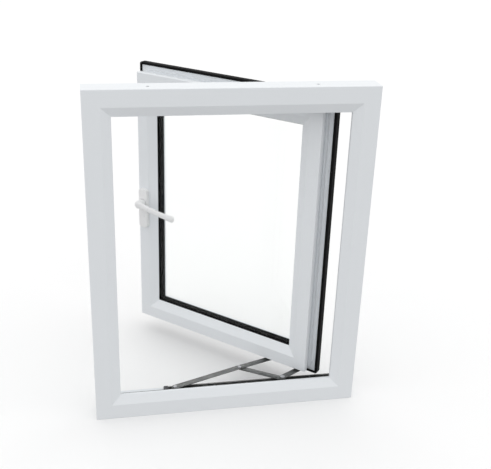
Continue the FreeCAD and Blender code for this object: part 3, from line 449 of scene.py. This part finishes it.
# Below 1, this fills the grip's section out from an ellipse towards a rounded box.
GRIP_POWER = 0.8
LEVER_VOXEL = 0.8 * MM
SMOOTH_ROUNDS = 6
# Share of the length, distance from the sash's indoor face, half width and half thickness, in mm.
GRIP = ((-0.045, 29.0, 5.5, 3.6), (-0.02, 30.5, 9.0, 6.6), (0.03, 31.5, 10.0, 7.4), (0.10, 32.5, 9.2, 6.6),
        (0.20, 34.5, 8.2, 5.6), (0.35, 37.5, 7.8, 5.2), (0.55, 39.8, 7.9, 5.2), (0.75, 40.8, 8.2, 5.4),
        (0.88, 41.0, 8.8, 6.0), (0.95, 41.0, 9.2, 6.6), (0.985, 41.0, 8.0, 5.8), (1.005, 41.0, 4.8, 3.6))
# Distance from the sash's indoor face and radius of the neck, in mm.
NECK = ((4.4, 10.4), (11.5, 10.4), (12.6, 11.6), (20.0, 11.6), (29.0, 11.8), (34.0, 11.2), (37.0, 9.4),
        (38.4, 6.0), (38.8, 2.0))


def lever_piece():
    """The grip and the neck as two closed skins, welded into one shape by the remesh."""
    face = local_box("sash_stile_left", SASH_ALONG, SASH_OUT)[0][1]
    spindle = Vector(joint["handle_turn"]["pos_m"])
    centre_e, centre_z = spindle.dot(SASH_ALONG), spindle.z
    along = (math.cos(LEVER_DROP), -math.sin(LEVER_DROP))
    circle = [(math.cos(2 * math.pi * i / RING_POINTS), math.sin(2 * math.pi * i / RING_POINTS))
              for i in range(RING_POINTS)]

    def spot(run, side, stand_off):
        e = centre_e + run * along[0] - side * along[1]
        z = centre_z + run * along[1] + side * along[0]
        return sash_place(e, face - stand_off, z)

    def filled(value):
        return math.copysign(abs(value) ** GRIP_POWER, value)

    grip = [[spot(share * LEVER_LENGTH, filled(c) * width * MM, stand_off * MM + filled(s) * thick * MM)
             for c, s in circle] for share, stand_off, width, thick in GRIP]
    neck = [[spot(radius * MM * c, radius * MM * s, stand_off * MM) for c, s in circle]
            for stand_off, radius in NECK]
    vertices, faces = loops_mesh(grip, closed_rows=False, capped=True)
    neck_vertices, neck_faces = loops_mesh(neck, closed_rows=False, capped=True)
    start = len(vertices)
    vertices += neck_vertices
    faces += [tuple(start + i for i in corners) for corners in neck_faces]
    lever = new_piece("smooth_lever", vertices, faces, "handle", "handle", 50.0)
    remesh = lever.modifiers.new("weld_shape", "REMESH")
    remesh.mode = "VOXEL"
    remesh.voxel_size = LEVER_VOXEL
    remesh.use_smooth_shade = True
    smooth = lever.modifiers.new("even", "SMOOTH")
    smooth.iterations = SMOOTH_ROUNDS
    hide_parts("handle_lever")


lever_piece()


# ---------------------------------------------------------------- soft edges on the kept CAD pieces
BARS = ("jamb", "stile", "rail", "frame_head", "frame_sill", "glazing_bead")
SMALL_PARTS = ("rivets", "caps", "shoe", "plate", "keeps", "handle_base_cover")
BAR_EDGE_MM = 0.35
SMALL_EDGE_MM = 0.3

for name in nodes:
    if any(word in name for word in BARS):
        soften(nodes[name], BAR_EDGE_MM)
    elif any(word in name for word in SMALL_PARTS):
        soften(nodes[name], SMALL_EDGE_MM)


# ---------------------------------------------------------------- floor, light and camera
FLOOR_SIZE = 400.0
# Strength of the light from above the horizon and from well below it. It changes evenly between two
# directions, given as the height of a direction that is one long.
SKY = 1.38
GROUND = 0.56
LIGHT_CHANGE = (-0.35, 0.0)

CAMERA_PLACE = Vector((-0.337, -1.8062, 1.3118))
CAMERA_YAW = math.radians(-11.733)
CAMERA_PITCH = math.radians(23.730)
CAMERA_ROLL = math.radians(2.043)
CAMERA_LENS = 58.96
SENSOR = 36.0


def pale_floor():
    """A floor so wide that its edge isn't seen. It is hidden from diffuse rays, so it casts no light."""
    half, height = FLOOR_SIZE / 2, cad_box[0][2]
    mesh = bpy.data.meshes.new("floor")
    corners = [(-half, -half, height), (half, -half, height), (half, half, height), (-half, half, height)]
    mesh.from_pydata(corners, [], [(0, 1, 2, 3)])
    floor = bpy.data.objects.new("floor", mesh)
    bpy.context.collection.objects.link(floor)
    material = bpy.data.materials.new("pale_floor")
    t = Tree(material)
    shader = principled(t, Base_Color=(0.92, 0.92, 0.92, 1), Roughness=0.9)
    finish_tree(t, shader.outputs["BSDF"])
    mesh.materials.append(material)
    floor.visible_diffuse = False


def studio_light():
    """Even white light from all round, dimmer from below."""
    world = bpy.data.worlds.new("studio")
    bpy.context.scene.world = world
    t = Tree(world)
    split = t.add("ShaderNodeSeparateXYZ")
    t.join(t.add("ShaderNodeTexCoord").outputs["Generated"], split.inputs[0])
    back = t.add("ShaderNodeBackground")
    t.join(remap(t, split.outputs["Z"], GROUND, SKY, LIGHT_CHANGE), back.inputs["Strength"])
    finish_tree(t, back.outputs["Background"], "ShaderNodeOutputWorld")


def studio_camera():
    """Looks along a yaw and a pitch downwards, then rolls about that line."""
    data = bpy.data.cameras.new("camera")
    camera = bpy.data.objects.new("camera", data)
    bpy.context.collection.objects.link(camera)
    data.sensor_width = SENSOR
    data.lens = CAMERA_LENS
    forward = Vector((-math.sin(CAMERA_YAW) * math.cos(CAMERA_PITCH),
                      math.cos(CAMERA_YAW) * math.cos(CAMERA_PITCH), -math.sin(CAMERA_PITCH)))
    right = Vector((math.cos(CAMERA_YAW), math.sin(CAMERA_YAW), 0))
    up = right.cross(forward)
    rolled_right = right * math.cos(CAMERA_ROLL) + up * math.sin(CAMERA_ROLL)
    rolled_up = up * math.cos(CAMERA_ROLL) - right * math.sin(CAMERA_ROLL)
    turn = Matrix((rolled_right, rolled_up, -forward)).transposed().to_4x4()
    camera.matrix_world = Matrix.Translation(CAMERA_PLACE) @ turn
    bpy.context.scene.camera = camera


pale_floor()
studio_light()
studio_camera()
bpy.context.scene.view_settings.view_transform = "Standard"
